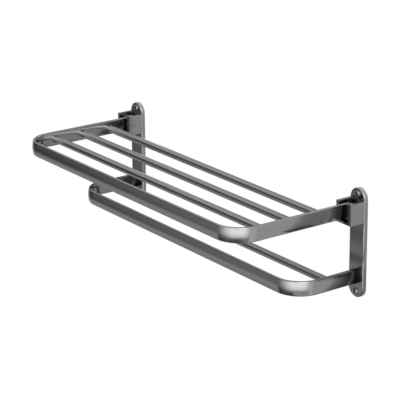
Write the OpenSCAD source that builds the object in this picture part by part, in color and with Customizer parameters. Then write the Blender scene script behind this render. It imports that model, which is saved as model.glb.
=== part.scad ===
// Wall-mounted folding towel rack: a folding shelf of three cross bars above a fixed lower rail.
// X runs along the wall, Y points into the wall and Z up. The wall plane is y = 0.
// The origin is the centre of the rectangle that the four wall nuts make.

/* [Folding shelf] */
// Outer width of the shelf
shelf_w = 600; // [450:10:800]
// Depth from the wall to the front of the shelf
shelf_d = 242; // [235:1:300]
// Distance from the wall to the rear cross bar
rear_bar_y = 71; // [60:1:75]
// Distance between neighbouring cross bars
bar_pitch = 54.5; // [45:0.5:56]
// Height of the shelf's middle plane above the origin
shelf_z = 55.5; // [50:0.5:58]

/* [Lower rail] */
// Depth from the wall to the front of the lower rail
lower_d = 130; // [115:1:160]
// Distance from the wall to the lower cross bar
lower_bar_y = 56; // [45:1:62]
// Height of the lower rail's middle plane, below the origin
lower_z = -54; // [-60:0.5:-45]

/* [Bar sections] */
// Height of the flat-oval rails
rail_h = 25; // [22:0.5:26]
// Thickness of the flat-oval rails at the middle
rail_t = 7; // [6:0.5:8]
// Radius of a rail's rounded edge
rail_edge_r = 2.5; // [2:0.1:2.9]
// Outer radius of the bends
bend_r = 45; // [30:1:60]
// Diameter of the round cross bars
tube_d = 12.7; // [10:0.1:14]
// Wall of the round cross bars
tube_wall = 1.2; // [0.8:0.1:2]

/* [Wall plates] */
// Width of a wall plate
plate_w = 34; // [32:1:40]
// Height of a wall plate
plate_h = 178; // [170:1:200]
// Thickness of a wall plate
plate_t = 7; // [6:0.5:9]
// Radius of the plate's front edge
plate_edge_r = 1.8; // [0.5:0.1:2]
// Distance from the shelf's outer side to the middle of the wall plate
plate_inset = 1; // [0:0.5:2]

/* [Hinge channels] */
// Width of a hinge channel
channel_w = 34; // [33:0.5:38]
// How far the channel's top edge is above the hinge axis
channel_up = 16; // [14:0.5:18]
// How far the channel's underside is below the hinge axis
channel_down = 18.5; // [18:0.5:20]
// How far a hinge channel stands out from its plate
channel_d = 27.5; // [26:0.5:30]
// Thickness of the channel's two cheeks
cheek_t = 6; // [5:0.5:6]
// Thickness of the channel's floor
floor_t = 3.5; // [2.5:0.1:3.6]
// Distance from the wall to the hinge axis
pivot_y = 22.5; // [22:0.1:23]

/* [Fixings] */
// Distance from a plate's end to its wall nut
wall_nut_inset = 9.5; // [8:0.5:12]
// Diameter of the wall studs, and so of the bore through the wall nuts
wall_stud_d = 5; // [4:0.5:5]
// Head diameter of the wall nuts
wall_head_d = 12; // [10:0.5:13]
// Head height of the wall nuts
wall_head_h = 2.5; // [1.5:0.1:2.5]
// Shoulder diameter of the hinge pins
pin_d = 6; // [5:0.5:6]

/* [Hidden] */
$fn = 128;

gun_grey = [0.40, 0.40, 0.41];
gun_grey_dark = [0.33, 0.33, 0.34];
screw_grey = [0.46, 0.46, 0.47];
zinc_grey = [0.70, 0.71, 0.72];
black_nylon = [0.08, 0.08, 0.08];

eps = 0.01;
gap = 0.3;                 // air between faces that move past each other
running = 0.05;            // radial clearance of a pin that turns in a bush

plate_x = shelf_w/2 + plate_inset;
plate_r = plate_w/2;
wall_nut_z = plate_h/2 - wall_nut_inset;
wall_sleeve_d = wall_stud_d + 2.5;
wall_socket_af = wall_stud_d + 1;
lower_w = 2*plate_x + rail_t;

// Positions across the right-hand hinge, from the middle of the rack outwards
channel_in = plate_x - channel_w/2;
channel_out = plate_x + channel_w/2;
slot_in = channel_in + cheek_t;
slot_out = channel_out - cheek_t;
rail_out = shelf_w/2;
rail_in = rail_out - rail_t;
washer_t = 1.2;
block_out = slot_out - washer_t - gap;
flange_t = rail_in - slot_in - gap;

channel_bottom = shelf_z - channel_down;
channel_floor = channel_bottom + floor_t;
channel_top = shelf_z + channel_up;
channel_front_y = plate_t + channel_d;
knuckle_r = rail_h/2;
web_front = knuckle_r + gap;     // from the hinge axis back to the channel's rear web
heel_r = channel_down - floor_t - gap;
block_front = 5.5;         // from the hinge axis to the block's front face
block_top = 11.3;          // from the hinge axis to the block's top
bush_d = pin_d + 2;
flange_d = pin_d + 6;
washer_d = pin_d + 8;
pin_head_d = 10;
pin_head_h = 1;
pin_socket_af = 4;
pin_thread_d = 5;
pin_thread_len = 4;

channel_screw_d = 4;
channel_screw_reach = pivot_y - web_front - plate_t;   // thread length inside the web
channel_screw_z = 9;
rail_screw_d = 4;
rail_screw_reach = 12;     // thread length inside the lower rail
rail_screw_z = 6;
screw_hole_play = 0.2;     // radial play of a screw in its plate
csk_angle_play = 0.1;
drive_w = 0.9;             // slot width of a cross recess
drive_depth = 1.2;

// Places its children on the right (s = 1) or, mirrored, on the left (s = -1)
module on_side(s) {
    if (s > 0) children();
    else mirror([1, 0, 0]) children();
}

// Cylinder along +Y that starts at the given point
module y_cylinder(at, d, len) {
    translate(at) rotate([-90, 0, 0]) cylinder(h = len, d = d);
}

// Cylinder along +X that starts at x0, on the hinge axis
module hinge_cylinder(x0, d, len) {
    translate([x0, -pivot_y, shelf_z]) rotate([0, 90, 0]) cylinder(h = len, d = d);
}

// ---- Flat-oval rail ----

// Section: two shallow arcs for the faces and a tangent arc round each edge; X is the thickness
module rail_section() {
    edge_c = rail_h/2 - rail_edge_r;
    face_r = (rail_t*rail_t/4 + edge_c*edge_c - rail_edge_r*rail_edge_r)/(rail_t - 2*rail_edge_r);
    join_z = edge_c*face_r/(face_r - rail_edge_r);
    intersection() {
        translate([rail_t/2 - face_r, 0]) circle(r = face_r, $fn = 360);
        translate([face_r - rail_t/2, 0]) circle(r = face_r, $fn = 360);
        square([rail_t + 1, 2*join_z], center = true);
    }
    for (s = [-1, 1]) translate([0, s*edge_c]) circle(r = rail_edge_r);
}

// U of flat-oval rail: width across the outside, depth from the wall, rear end of the arms
module bent_rail(w, d, arm_end, z) {
    mid_r = bend_r - rail_t/2;
    arm_x = w/2 - rail_t/2;
    bend_x = w/2 - bend_r;
    bend_y = bend_r - d;
    translate([0, 0, z]) {
        translate([-bend_x, -d + rail_t/2, 0]) rotate([90, 0, 90])
            linear_extrude(height = 2*bend_x) rail_section();
        for (s = [-1, 1]) on_side(s) {
            translate([arm_x, -arm_end, 0]) rotate([90, 0, 0])
                linear_extrude(height = d - bend_r - arm_end) rail_section();
            translate([bend_x, bend_y, 0]) rotate([0, 0, -90])
                rotate_extrude(angle = 90) translate([mid_r, 0]) rail_section();
        }
    }
}

// Outline of an arm's rear end, as a prism along X: the top corner is rounded about the
// hinge axis, the lower corner is a square heel that stops on the channel's rear web
module heel_outline(x0, len) {
    hinge_cylinder(x0, 2*knuckle_r, len);
    intersection() {
        hinge_cylinder(x0, 2*heel_r, len);
        translate([x0, -pivot_y - knuckle_r, shelf_z - 2*knuckle_r])
            cube([len, 2*knuckle_r, 2*knuckle_r]);
    }
}

// The shelf's arms end behind the hinge axis
module shelf_rail_solid() {
    bent_rail(shelf_w, shelf_d, pivot_y, shelf_z);
    for (s = [-1, 1]) on_side(s) intersection() {
        translate([rail_out - rail_t/2, -pivot_y + knuckle_r, shelf_z]) rotate([90, 0, 0])
            linear_extrude(height = knuckle_r) rail_section();
        heel_outline(rail_in - 1, rail_t + 2);
    }
}

module shelf_rail() {
    color(gun_grey) difference() {
        shelf_rail_solid();
        for (s = [-1, 1]) on_side(s) hinge_cylinder(rail_in - 1, bush_d, rail_t + 2);
    }
}

module lower_rail_solid() {
    bent_rail(lower_w, lower_d, plate_t, lower_z);
}

module lower_rail() {
    color(gun_grey) difference() {
        lower_rail_solid();
        for (s = [-1, 1]) on_side(s) for (t = [-1, 1])
            y_cylinder([plate_x, -plate_t - rail_screw_reach, lower_z + t*rail_screw_z],
                       rail_screw_d, rail_screw_reach + 1);
    }
}

// ---- Round cross bars, hollow, their ends shaped to the rail's curved face ----

module cross_tube(half_len, y, z) {
    translate([-half_len, -y, z]) rotate([0, 90, 0]) difference() {
        cylinder(h = 2*half_len, d = tube_d);
        translate([0, 0, -1]) cylinder(h = 2*half_len + 2, d = tube_d - 2*tube_wall);
    }
}

module shelf_cross_bar(y) {
    color(gun_grey) difference() {
        cross_tube(rail_in + rail_t/4, y, shelf_z);
        shelf_rail_solid();
    }
}

module rear_cross_bar() shelf_cross_bar(rear_bar_y);
module middle_cross_bar() shelf_cross_bar(rear_bar_y + bar_pitch);
module front_cross_bar() shelf_cross_bar(rear_bar_y + 2*bar_pitch);

module lower_cross_bar() {
    color(gun_grey) difference() {
        cross_tube(plate_x - rail_t/4, lower_bar_y, lower_z);
        lower_rail_solid();
    }
}

// ---- Wall plates ----

// Half section of a plate: X from the middle to the side, Y from the wall to the front
module plate_half_section() {
    square([plate_r, plate_t - plate_edge_r]);
    square([plate_r - plate_edge_r, plate_t]);
    translate([plate_r - plate_edge_r, plate_t - plate_edge_r]) circle(r = plate_edge_r);
}

module plate_solid() {
    straight = plate_h - plate_w;
    translate([plate_x, 0, -straight/2]) linear_extrude(height = straight) mirror([0, 1]) {
        plate_half_section();
        mirror([1, 0]) plate_half_section();
    }
    for (s = [-1, 1]) translate([plate_x, 0, s*straight/2]) rotate([90, 0, 0])
        rotate_extrude() plate_half_section();
}

// Countersunk screw from the back of the plate; its head is flush with the wall plane
module back_screw(x, z, d, reach, grow) {
    y_cylinder([x, -plate_t - reach, z], d + 2*grow, plate_t + reach);
    translate([x, -d/2 - grow, z]) rotate([-90, 0, 0])
        cylinder(h = d/2 + grow, d1 = d + 2*grow, d2 = 2*d + 4*grow);
}

module each_channel_screw() {
    for (t = [-1, 1]) translate([plate_x, 0, shelf_z + t*channel_screw_z]) children();
}

module each_rail_screw() {
    for (t = [-1, 1]) translate([plate_x, 0, lower_z + t*rail_screw_z]) children();
}

module wall_plate(s) {
    color(gun_grey_dark) on_side(s) difference() {
        plate_solid();
        for (t = [-1, 1])
            y_cylinder([plate_x, -plate_t - 1, t*wall_nut_z],
                       wall_sleeve_d + 2*screw_hole_play, plate_t + 2);
        each_channel_screw() back_screw(0, 0, channel_screw_d, 1, csk_angle_play);
        each_rail_screw() back_screw(0, 0, rail_screw_d, 1, csk_angle_play);
    }
}

module left_wall_plate() wall_plate(-1);
module right_wall_plate() wall_plate(1);

// ---- Hinge channels: two cheeks, a floor and a rear web, open at the top and the front ----

module hinge_channel(s) {
    color(gun_grey) on_side(s) difference() {
        translate([channel_in, -channel_front_y, channel_bottom])
            cube([channel_w, channel_d, channel_top - channel_bottom]);
        translate([slot_in, -channel_front_y - 1, channel_floor])
            cube([slot_out - slot_in, channel_front_y - pivot_y + web_front + 1, 60]);
        hinge_cylinder(channel_in - 1, pin_d, cheek_t + 2);
        hinge_cylinder(slot_out - 1, pin_thread_d, pin_thread_len + 1);
        each_channel_screw()
            y_cylinder([0, -plate_t - channel_screw_reach, 0], channel_screw_d,
                       channel_screw_reach + 1);
    }
}

module left_hinge_channel() hinge_channel(-1);
module right_hinge_channel() hinge_channel(1);

// ---- Hinge parts ----

// Shoulder screw: low head on the inner cheek, plain shoulder, thread in the outer cheek
module hinge_pin(s) {
    color(screw_grey) on_side(s) difference() {
        union() {
            hinge_cylinder(channel_in - pin_head_h, pin_head_d, pin_head_h);
            hinge_cylinder(channel_in, pin_d, slot_out - channel_in);
            hinge_cylinder(slot_out, pin_thread_d, pin_thread_len);
        }
        translate([channel_in - pin_head_h - 1, -pivot_y, shelf_z]) rotate([0, 90, 0])
            cylinder(h = 1.9, d = pin_socket_af/cos(30), $fn = 6);
    }
}

module left_hinge_pin() hinge_pin(-1);
module right_hinge_pin() hinge_pin(1);

// Nylon washer between the block and the outer cheek
module hinge_washer(s) {
    color(black_nylon) on_side(s) difference() {
        hinge_cylinder(slot_out - washer_t, washer_d, washer_t);
        hinge_cylinder(slot_out - washer_t - 1, pin_d + 0.4, washer_t + 2);
    }
}

module left_hinge_washer() hinge_washer(-1);
module right_hinge_washer() hinge_washer(1);

// Block welded to the outside of the shelf's arm; it turns between the arm and the outer cheek
module hinge_block(s) {
    x0 = rail_out - rail_t/2;
    color(gun_grey_dark) on_side(s) difference() {
        intersection() {
            heel_outline(x0, block_out - x0);
            translate([x0, -pivot_y - block_front, shelf_z - knuckle_r])
                cube([block_out - x0, block_front + knuckle_r, knuckle_r + block_top]);
        }
        shelf_rail_solid();
        hinge_cylinder(rail_out - rail_t, bush_d, block_out - rail_out + 2*rail_t);
    }
}

module left_hinge_block() hinge_block(-1);
module right_hinge_block() hinge_block(1);

// Flanged nylon bush pressed through the arm and the block; it turns on the pin
module hinge_bush(s) {
    color(black_nylon) on_side(s) difference() {
        union() {
            hinge_cylinder(rail_in - flange_t, flange_d, flange_t);
            hinge_cylinder(rail_in - eps, bush_d, block_out - rail_in + eps);
        }
        hinge_cylinder(rail_in - flange_t - 1, pin_d + 2*running, block_out - rail_in + flange_t + 2);
    }
}

module left_hinge_bush() hinge_bush(-1);
module right_hinge_bush() hinge_bush(1);

// ---- Screws ----

// Cross recess, cut from the face at y = 0 into +Y
module cross_recess(w, depth) {
    for (a = [45, 135]) rotate([0, a, 0]) translate([-w/2, -1, -drive_w/2])
        cube([w, depth + 1, drive_w]);
}

module channel_screws(s) {
    color(zinc_grey) on_side(s) each_channel_screw() difference() {
        back_screw(0, 0, channel_screw_d, channel_screw_reach, 0);
        mirror([0, 1, 0]) cross_recess(channel_screw_d, drive_depth);
    }
}

module left_channel_screws() channel_screws(-1);
module right_channel_screws() channel_screws(1);

module rail_screws(s) {
    color(zinc_grey) on_side(s) each_rail_screw() difference() {
        back_screw(0, 0, rail_screw_d, rail_screw_reach, 0);
        mirror([0, 1, 0]) cross_recess(rail_screw_d, drive_depth);
    }
}

module left_rail_screws() rail_screws(-1);
module right_rail_screws() rail_screws(1);

// Sleeve nut: domed head on the plate's front, sleeve through the plate, bore for a wall stud
module wall_nut() {
    dome = 0.6*wall_head_h;
    dome_r = (wall_head_d*wall_head_d/4 + dome*dome)/(2*dome);
    difference() {
        union() {
            intersection() {
                y_cylinder([0, -plate_t - wall_head_h, 0], wall_head_d, wall_head_h);
                translate([0, dome_r - plate_t - wall_head_h, 0]) sphere(r = dome_r);
            }
            y_cylinder([0, -plate_t, 0], wall_sleeve_d, plate_t);
        }
        y_cylinder([0, -plate_t - wall_head_h - 1, 0], wall_stud_d, plate_t + wall_head_h + 2);
        translate([0, -plate_t - wall_head_h - 1, 0]) rotate([-90, 0, 0])
            cylinder(h = 1 + 0.7*wall_head_h, d = wall_socket_af/cos(30), $fn = 6);
    }
}

module wall_nuts(s) {
    color(screw_grey) on_side(s) for (t = [-1, 1])
        translate([plate_x, 0, t*wall_nut_z]) wall_nut();
}

module left_wall_nuts() wall_nuts(-1);
module right_wall_nuts() wall_nuts(1);

left_wall_plate();
right_wall_plate();
left_hinge_channel();
right_hinge_channel();
left_hinge_pin();
right_hinge_pin();
left_hinge_washer();
right_hinge_washer();
left_channel_screws();
right_channel_screws();
left_rail_screws();
right_rail_screws();
left_wall_nuts();
right_wall_nuts();
lower_rail();
lower_cross_bar();
shelf_rail();
rear_cross_bar();
middle_cross_bar();
front_cross_bar();
left_hinge_block();
right_hinge_block();
left_hinge_bush();
right_hinge_bush();
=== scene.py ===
import math

import bpy
from mathutils import Matrix, Vector


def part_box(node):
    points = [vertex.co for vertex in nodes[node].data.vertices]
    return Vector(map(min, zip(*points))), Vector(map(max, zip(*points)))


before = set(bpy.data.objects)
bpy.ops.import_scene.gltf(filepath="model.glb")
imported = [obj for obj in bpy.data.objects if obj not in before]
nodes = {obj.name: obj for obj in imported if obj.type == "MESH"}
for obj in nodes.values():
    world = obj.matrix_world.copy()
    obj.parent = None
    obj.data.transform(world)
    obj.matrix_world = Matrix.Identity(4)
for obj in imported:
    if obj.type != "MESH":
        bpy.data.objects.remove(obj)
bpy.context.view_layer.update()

scene = bpy.context.scene


# ---- Places on the rack, in metres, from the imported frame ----

SHELF_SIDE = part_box("shelf_rail")[1].x
CHANNEL_LOW, CHANNEL_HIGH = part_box("right_hinge_channel")
LEFT_CHANNEL_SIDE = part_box("left_hinge_channel")[1].x
CHEEK = 0.006                               # thickness of a channel's cheek
CHANNEL_FLOOR = 0.0035                      # thickness of a channel's floor
CARD_Y = CHANNEL_LOW.y - 0.001              # just in front of the channels
CARD_TOP = CHANNEL_HIGH.z + 0.0025          # just above them
CARD_END = CHANNEL_HIGH.x + 0.020           # right-hand end of the card beside the right channel


# ---- Camera ----

CAMERA_PLACE = (2.29837, -1.74189, 0.96526)
# In radians: turned left from facing the wall, tilted down, and rolled about the view
CAMERA_TURN, CAMERA_TILT, CAMERA_ROLL = 0.94634, 0.32701, -0.00712
CAMERA_LENS = 164.36                        # mm, on a sensor 36 mm wide


def make_camera():
    cam = bpy.data.cameras.new("camera")
    cam.sensor_fit = "HORIZONTAL"
    cam.sensor_width = 36.0
    cam.lens = CAMERA_LENS
    cam.clip_start = 0.1
    cam.clip_end = 100.0
    obj = bpy.data.objects.new("camera", cam)
    scene.collection.objects.link(obj)

    level = math.cos(CAMERA_TILT)
    forward = Vector((-math.sin(CAMERA_TURN) * level, math.cos(CAMERA_TURN) * level, -math.sin(CAMERA_TILT)))
    right = Vector((math.cos(CAMERA_TURN), math.sin(CAMERA_TURN), 0.0))
    up = right.cross(forward)
    rolled_right = math.cos(CAMERA_ROLL) * right + math.sin(CAMERA_ROLL) * up
    rolled_up = math.cos(CAMERA_ROLL) * up - math.sin(CAMERA_ROLL) * right
    turn = Matrix((rolled_right, rolled_up, -forward)).transposed().to_4x4()
    obj.matrix_world = Matrix.Translation(CAMERA_PLACE) @ turn
    scene.camera = obj


# ---- Node helpers ----

def node(tree, kind, **values):
    """A new shader node. Each value goes to the input of that name, or else to the property."""
    n = tree.nodes.new(kind)
    for key, value in values.items():
        if key in n.inputs:
            n.inputs[key].default_value = value
        else:
            setattr(n, key, value)
    return n


def maths(tree, op, a, b=None):
    """The output of a maths node on numbers or other nodes' outputs."""
    n = tree.nodes.new("ShaderNodeMath")
    n.operation = op
    for i, v in enumerate((a, b)):
        if v is None:
            continue
        if isinstance(v, (int, float)):
            n.inputs[i].default_value = v
        else:
            tree.links.new(v, n.inputs[i])
    return n.outputs[0]


def parts_of(tree, vector):
    """The X, Y and Z of a vector output, by lower-case name."""
    sep = tree.nodes.new("ShaderNodeSeparateXYZ")
    tree.links.new(vector, sep.inputs[0])
    return {axis.lower(): sep.outputs[axis] for axis in ("X", "Y", "Z")}


def rise(tree, value, lo, hi):
    """0 below lo and 1 above hi, smooth in between. With lo above hi it falls instead."""
    n = tree.nodes.new("ShaderNodeMapRange")
    n.interpolation_type = "SMOOTHSTEP"
    n.inputs["From Min"].default_value = min(lo, hi)
    n.inputs["From Max"].default_value = max(lo, hi)
    n.inputs["To Min"].default_value = 0.0 if lo < hi else 1.0
    n.inputs["To Max"].default_value = 1.0 if lo < hi else 0.0
    tree.links.new(value, n.inputs["Value"])
    return n.outputs["Result"]


def panel(tree, values, edges, strength):
    """A soft-edged panel of light, which fades in over each edge (coordinate, from, to)."""
    out = None
    for coord, lo, hi in edges:
        r = rise(tree, values[coord], lo, hi)
        out = r if out is None else maths(tree, "MULTIPLY", out, r)
    return maths(tree, "MULTIPLY", out, strength)


def total(tree, values, panels, start):
    """The strength of all the panels together, added to start."""
    out = start
    for edges, strength in panels:
        out = maths(tree, "ADD", panel(tree, values, edges, strength), out)
    return out


# ---- Light: a soft studio of large panels, which the camera itself sees as plain white ----

# Each entry is (edges, strength). az is degrees round from the room side towards the right, el degrees up
STUDIO = [
    # overhead
    ([("el", 8, 33)], 0.74),
    # wide and faint, front
    ([("az", -60, -50), ("az", 90, 60), ("el", -30, -14), ("el", 0, -8)], 0.26),
    # front right, and its bright middle
    ([("az", -42, 8), ("az", 127, 74), ("el", -42, -2), ("el", 60, 30)], 1.25),
    ([("az", -12, 30), ("az", 108, 64), ("el", -34, -20), ("el", 60, 30)], 0.85),
    # small lamp, high right
    ([("az", 44, 52), ("az", 98, 80), ("el", 13, 23), ("el", 46, 34)], 2.4),
    # bounce from below left, and its nearer edge
    ([("az", -36, -48), ("el", -16, -24)], 0.32),
    ([("az", -36, -48), ("el", -19.5, -24), ("el", -34, -28)], 0.14),
    # bounce from below right
    ([("az", 40, 90), ("el", -20, -36)], 0.35),
    # far left
    ([("az", -74, -92)], 0.30),
]
AMBIENT = 0.09

# Light parts of the wall as (edges, strength), in metres. A strength below 0 makes a dark part
WALL = [
    # above the rack
    ([("z", 0.05, 0.10)], 0.50),
    # right of the rack, further right, and far right
    ([("x", 0.365, 0.39)], 0.28),
    ([("x", 0.44, 0.48), ("z", 0.12, 0.06)], 0.42),
    ([("x", 0.52, 0.90), ("z", -6.0, -1.0)], 0.27),
    # right of the rack, low down
    ([("x", 0.332, 0.390), ("x", 0.48, 0.44), ("z", -0.055, -0.070)], 0.42),
    # far left
    ([("x", -0.60, -1.50), ("z", 0.10, 0.05)], 0.35),
    # behind the shelf, and behind the lower rail
    ([("x", -0.17, -0.15), ("x", 0.30, 0.25), ("z", 0.09, 0.05), ("z", -0.06, -0.03)], 0.45),
    ([("x", -0.235, -0.215), ("x", 0.30, 0.25), ("z", -0.03, -0.06)], 0.45),
    # round the right hinge, and below it
    ([("x", 0.27, 0.30), ("x", 0.378, 0.366), ("z", -0.05, -0.03)], 0.57),
    ([("x", 0.27, 0.30), ("x", 0.333, 0.327), ("z", -0.03, -0.05)], 0.40),
    # round the left hinge, and below it
    ([("x", -0.226, -0.232), ("x", -0.33, -0.30), ("z", -0.03, -0.01)], 0.57),
    ([("x", -0.262, -0.268), ("x", -0.33, -0.30), ("z", -0.01, -0.03)], 0.45),
    # dark, beside the end of the shelf's left arm
    ([("x", -0.240, -0.232), ("x", -0.190, -0.222), ("z", 0.02, 0.03)], -0.08),
]
WALL_BASE = 0.10
WALL_Y = 0.003                              # just behind the plates
WALL_HALF_WIDTH = 40.0
WALL_HALF_HEIGHT = 30.0

# Small cards as (name, a corner, the opposite corner, tone, lighter parts)
BESIDE_ARM = [([("x", SHELF_SIDE + 0.011, CARD_END)], 0.30)]
CARDS = [
    # dark, lying level beside the right plate
    ("card_plate", (0.335, -0.055, -0.035), (0.408, 0.0, -0.035), 0.13, []),
    # dark, upright beside the right channel
    ("card_hinge", (CHANNEL_HIGH.x, CARD_Y, CHANNEL_LOW.z - 0.017), (CARD_END, CARD_Y, CARD_TOP), 0.13,
     BESIDE_ARM),
    # dark, across the right channel's slot, outside the arm
    ("card_right_slot", (SHELF_SIDE + 0.0005, CARD_Y, CHANNEL_LOW.z - 0.001),
     (CHANNEL_HIGH.x, CARD_Y, CARD_TOP), 0.13, BESIDE_ARM),
    # dark, in front of the left channel's inner cheek
    ("card_left_slot", (LEFT_CHANNEL_SIDE - CHEEK, CARD_Y, CHANNEL_LOW.z + CHANNEL_FLOOR),
     (LEFT_CHANNEL_SIDE, CARD_Y, CARD_TOP), 0.08, []),
    # light, lying level below the lower rail's right bend
    ("card_bend", (0.300, -0.25, -0.15), (0.42, -0.09, -0.15), 0.12, [([("x", 0.315, 0.365)], 0.60)]),
]

FLOOR_Z = -1.6
FLOOR_HALF_WIDTH = 12.0


def make_world():
    """The studio's panels by direction, and plain white for the camera."""
    world = bpy.data.worlds.new("studio")
    scene.world = world
    world.use_nodes = True
    t = world.node_tree
    t.nodes.clear()
    out = t.nodes.new("ShaderNodeOutputWorld")
    coord = t.nodes.new("ShaderNodeTexCoord")
    at = parts_of(t, coord.outputs["Generated"])
    to_degrees = 180 / math.pi
    room_side = maths(t, "MULTIPLY", at["y"], -1.0)
    az = maths(t, "MULTIPLY", maths(t, "ARCTAN2", at["x"], room_side), to_degrees)
    el = maths(t, "MULTIPLY", maths(t, "ARCSINE", at["z"]), to_degrees)
    lit = node(t, "ShaderNodeBackground", Color=(1, 1, 1, 1))
    t.links.new(total(t, {"az": az, "el": el}, STUDIO, AMBIENT), lit.inputs["Strength"])
    white = node(t, "ShaderNodeBackground", Color=(1, 1, 1, 1), Strength=1.0)
    path = t.nodes.new("ShaderNodeLightPath")
    mix = t.nodes.new("ShaderNodeMixShader")
    t.links.new(path.outputs["Is Camera Ray"], mix.inputs[0])
    t.links.new(lit.outputs[0], mix.inputs[1])
    t.links.new(white.outputs[0], mix.inputs[2])
    t.links.new(mix.outputs[0], out.inputs["Surface"])


def glow(name, strength, lighter):
    """A material that shines as strongly as strength plus the panels in lighter, by place."""
    mat = bpy.data.materials.new(name)
    mat.use_nodes = True
    t = mat.node_tree
    t.nodes.clear()
    out = t.nodes.new("ShaderNodeOutputMaterial")
    em = node(t, "ShaderNodeEmission", Color=(1, 1, 1, 1), Strength=strength)
    t.links.new(em.outputs[0], out.inputs["Surface"])
    if lighter:
        geo = t.nodes.new("ShaderNodeNewGeometry")
        at = parts_of(t, geo.outputs["Position"])
        t.links.new(total(t, at, lighter, strength), em.inputs["Strength"])
    return mat


def stage_plane(name, corners, mat):
    """A flat stage piece with four corners."""
    me = bpy.data.meshes.new(name)
    me.from_pydata(corners, [], [(0, 1, 2, 3)])
    obj = bpy.data.objects.new(name, me)
    scene.collection.objects.link(obj)
    me.materials.append(mat)
    return obj


def only_reflected(obj):
    """Show a stage plane in the metal's reflections only."""
    obj.visible_camera = False
    obj.visible_diffuse = False
    obj.visible_shadow = False


def make_wall():
    """The wall that the rack hangs on, seen only in the metal's reflections."""
    w, h, y = WALL_HALF_WIDTH, WALL_HALF_HEIGHT, WALL_Y
    corners = [(-w, y, -h), (w, y, -h), (w, y, h), (-w, y, h)]
    only_reflected(stage_plane("wall", corners, glow("wall_glow", WALL_BASE, WALL)))


def make_cards():
    """Cards that the metal reflects. They stay where they are when the shelf folds."""
    for name, a, b, tone, lighter in CARDS:
        corners = [a, (b[0], a[1], a[2]), b, (a[0], b[1], b[2])]
        only_reflected(stage_plane(name, corners, glow(name, tone, lighter)))


def make_floor():
    """A pale floor that only the camera sees, so it sends no light up to the metal."""
    w, z = FLOOR_HALF_WIDTH, FLOOR_Z
    corners = [(-w, -w, z), (w, -w, z), (w, w, z), (-w, w, z)]
    floor = stage_plane("floor", corners, glow("pale_floor", 1.0, []))
    floor.visible_glossy = False
    floor.visible_diffuse = False
    floor.visible_shadow = False


# ---- Materials ----

CLOUD = 0.05                                # how much the coating's tone changes slowly over a piece
ROUGH_SPREAD = 0.10                         # how much the fine brushing changes the roughness
PAINTED_SHADE_REACH = 0.028                          # how near another surface has to be for the painted shade in a corner, in metres
PAINTED_SHADE_OPEN = 0.98                            # how open a surface is when it gets no painted shade at all
BRUSH_DEPTH = 0.0002                        # depth of the brushing's bump, in metres
NYLON_DEPTH = 0.0001                        # and of the nylon's grain


def painted_shade_tone(tree, object_coord, painted_shade, painted_shade_y):
    """Painted shade: a tone that is 1 in the open and gets darker where another surface is close, as in
    corners and between parts.
    """
    closed_at, darkest = painted_shade
    closed = node(tree, "ShaderNodeAmbientOcclusion", Distance=PAINTED_SHADE_REACH, samples=16)
    fade = tree.nodes.new("ShaderNodeMapRange")
    fade.inputs["From Min"].default_value = closed_at
    fade.inputs["From Max"].default_value = PAINTED_SHADE_OPEN
    fade.inputs["To Min"].default_value = darkest
    fade.inputs["To Max"].default_value = 1.0
    tree.links.new(closed.outputs["AO"], fade.inputs["Value"])
    shade = fade.outputs["Result"]
    if painted_shade_y:
        front, back = painted_shade_y
        shade = maths(tree, "MAXIMUM", shade, rise(tree, parts_of(tree, object_coord)["y"], back, front))
    return shade


def bump(tree, height, strength, depth, bsdf):
    """Give the shader a bump from a height output."""
    n = node(tree, "ShaderNodeBump", Strength=strength, Distance=depth)
    tree.links.new(height, n.inputs["Height"])
    tree.links.new(n.outputs[0], bsdf.inputs["Normal"])


def metal(name, color, rough, grain, streak=0.06, relief=0.05, painted_shade=None, painted_shade_y=None):
    """
    Satin metal with fine brushing: grain is the noise scale per metre along X, Y and Z.
    Where painted_shade is given, the base colour gets painted shade, darker in closed corners and between
    parts: it is how open a corner is when it gets darkest (0 closed, 1 open), and its tone there.
    painted_shade_y keeps that painted shade to the back, fading in over (from, to) in Y.
    """
    mat = bpy.data.materials.new(name)
    mat.use_nodes = True
    t = mat.node_tree
    bsdf = t.nodes["Principled BSDF"]
    bsdf.inputs["Metallic"].default_value = 1.0
    coord = t.nodes.new("ShaderNodeTexCoord").outputs["Object"]
    mapping = t.nodes.new("ShaderNodeMapping")
    mapping.inputs["Scale"].default_value = grain
    t.links.new(coord, mapping.inputs["Vector"])
    fine = node(t, "ShaderNodeTexNoise", Scale=1.0, Detail=3.0, Roughness=0.6)
    t.links.new(mapping.outputs[0], fine.inputs["Vector"])
    brushing = fine.outputs["Fac"]
    cloud = node(t, "ShaderNodeTexNoise", Scale=9.0, Detail=2.0, Roughness=0.5)
    t.links.new(coord, cloud.inputs["Vector"])

    # Colour: base colour, fine streaks, and slow changes of the coating, all about a mean of 1
    tone = maths(t, "ADD", maths(t, "MULTIPLY", brushing, streak * 2),
                 maths(t, "MULTIPLY", cloud.outputs["Fac"], CLOUD))
    tone = maths(t, "ADD", tone, 1.0 - streak - CLOUD / 2)
    # Painted shade: the tone darkens in closed corners and between parts
    if painted_shade:
        tone = maths(t, "MULTIPLY", tone, painted_shade_tone(t, coord, painted_shade, painted_shade_y))
    mixed = t.nodes.new("ShaderNodeCombineColor")
    for socket, part in zip(mixed.inputs, color):
        t.links.new(maths(t, "MULTIPLY", tone, part), socket)
    t.links.new(mixed.outputs[0], bsdf.inputs["Base Color"])

    roughness = maths(t, "ADD", maths(t, "MULTIPLY", brushing, ROUGH_SPREAD), rough - ROUGH_SPREAD / 2)
    t.links.new(roughness, bsdf.inputs["Roughness"])
    bump(t, brushing, relief, BRUSH_DEPTH, bsdf)
    return mat


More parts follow.
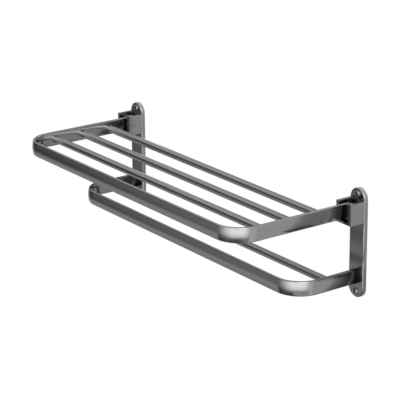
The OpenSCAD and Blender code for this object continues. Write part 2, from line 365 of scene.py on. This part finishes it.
def nylon(name):
    """Black moulded nylon with a fine grain."""
    mat = bpy.data.materials.new(name)
    mat.use_nodes = True
    t = mat.node_tree
    bsdf = t.nodes["Principled BSDF"]
    coord = t.nodes.new("ShaderNodeTexCoord")
    noise = node(t, "ShaderNodeTexNoise", Scale=900.0, Detail=2.0)
    t.links.new(coord.outputs["Object"], noise.inputs["Vector"])
    grain = noise.outputs["Fac"]
    ramp = t.nodes.new("ShaderNodeValToRGB")
    for stop, place, tone in zip(ramp.color_ramp.elements, (0.3, 0.7), (0.010, 0.022)):
        stop.position = place
        stop.color = (tone, tone, tone, 1)
    t.links.new(grain, ramp.inputs["Fac"])
    t.links.new(ramp.outputs["Color"], bsdf.inputs["Base Color"])
    roughness = maths(t, "ADD", maths(t, "MULTIPLY", grain, 0.15), 0.45)
    t.links.new(roughness, bsdf.inputs["Roughness"])
    bump(t, grain, 0.1, NYLON_DEPTH, bsdf)
    return mat


GREY = (0.30, 0.30, 0.304)
HINGE_GREY = (0.31, 0.31, 0.314)
STEEL_GREY = (0.48, 0.48, 0.485)
ZINC_GREY = (0.62, 0.63, 0.64)

# Noise scales per metre: low along the brushing and high across it
ALONG_X = (14, 1500, 1500)
ALONG_RAIL = (9, 9, 1700)
ALONG_Z = (1500, 1500, 12)
EVEN = (900, 900, 900)
PAINTED_SHADE_ARM_Y = (-0.070, -0.040)                # where the painted shade on a rail's arms fades in, towards the wall

# A part of a node's name, and the material of each node that has it
MATERIALS = {
    "cross_bar": metal("satin_bar", GREY, 0.12, ALONG_X),
    "shelf_rail": metal("satin_shelf_rail", GREY, 0.10, ALONG_RAIL, relief=0.03, painted_shade=(0.50, 0.30),
                        painted_shade_y=PAINTED_SHADE_ARM_Y),
    "lower_rail": metal("satin_lower_rail", GREY, 0.10, ALONG_RAIL, relief=0.03, painted_shade=(0.74, 0.05),
                        painted_shade_y=PAINTED_SHADE_ARM_Y),
    "wall_plate": metal("satin_plate", GREY, 0.20, ALONG_Z, streak=0.03, relief=0.01, painted_shade=(0.5, 0.8)),
    "hinge_channel": metal("satin_hinge", HINGE_GREY, 0.18, ALONG_Z, streak=0.03, relief=0.01,
                           painted_shade=(0.3, 0.7)),
    "hinge_block": metal("satin_hinge_block", GREY, 0.32, ALONG_Z, painted_shade=(0.35, 0.7)),
    "wall_nuts": metal("turned_screw", STEEL_GREY, 0.28, EVEN, painted_shade=(0.3, 0.3)),
    "screws": metal("zinc_screw", ZINC_GREY, 0.3, EVEN),
    "hinge_washer": nylon("black_nylon"),
}
MATERIALS["hinge_pin"] = MATERIALS["hinge_channel"]
MATERIALS["hinge_bush"] = MATERIALS["hinge_washer"]


def give_material(name, obj):
    """Replace a node's packed material with the one that its name calls for."""
    obj.data.materials.clear()
    for part, material in MATERIALS.items():
        if part in name:
            obj.data.materials.append(material)


# ---- Small rounded edges on pieces that the CAD has with sharp ones ----

EDGE_WIDTHS = {"hinge_channel": 0.0007, "hinge_block": 0.0003}


def break_edges(obj, width):
    """Round the sharp edges of a piece. Its CAD faces are joined first, so that they share edges."""
    weld = obj.modifiers.new("weld", "WELD")
    weld.merge_threshold = 1e-5
    bevel = obj.modifiers.new("bevel", "BEVEL")
    bevel.width = width
    bevel.segments = 3
    bevel.limit_method = "ANGLE"
    bevel.angle_limit = math.radians(40)
    bevel.harden_normals = False
    normals = obj.modifiers.new("normals", "WEIGHTED_NORMAL")
    normals.keep_sharp = False


for name, obj in nodes.items():
    give_material(name, obj)
    for part, width in EDGE_WIDTHS.items():
        if part in name:
            break_edges(obj, width)

make_camera()
make_world()
make_wall()
make_cards()
make_floor()

scene.view_settings.view_transform = "Standard"
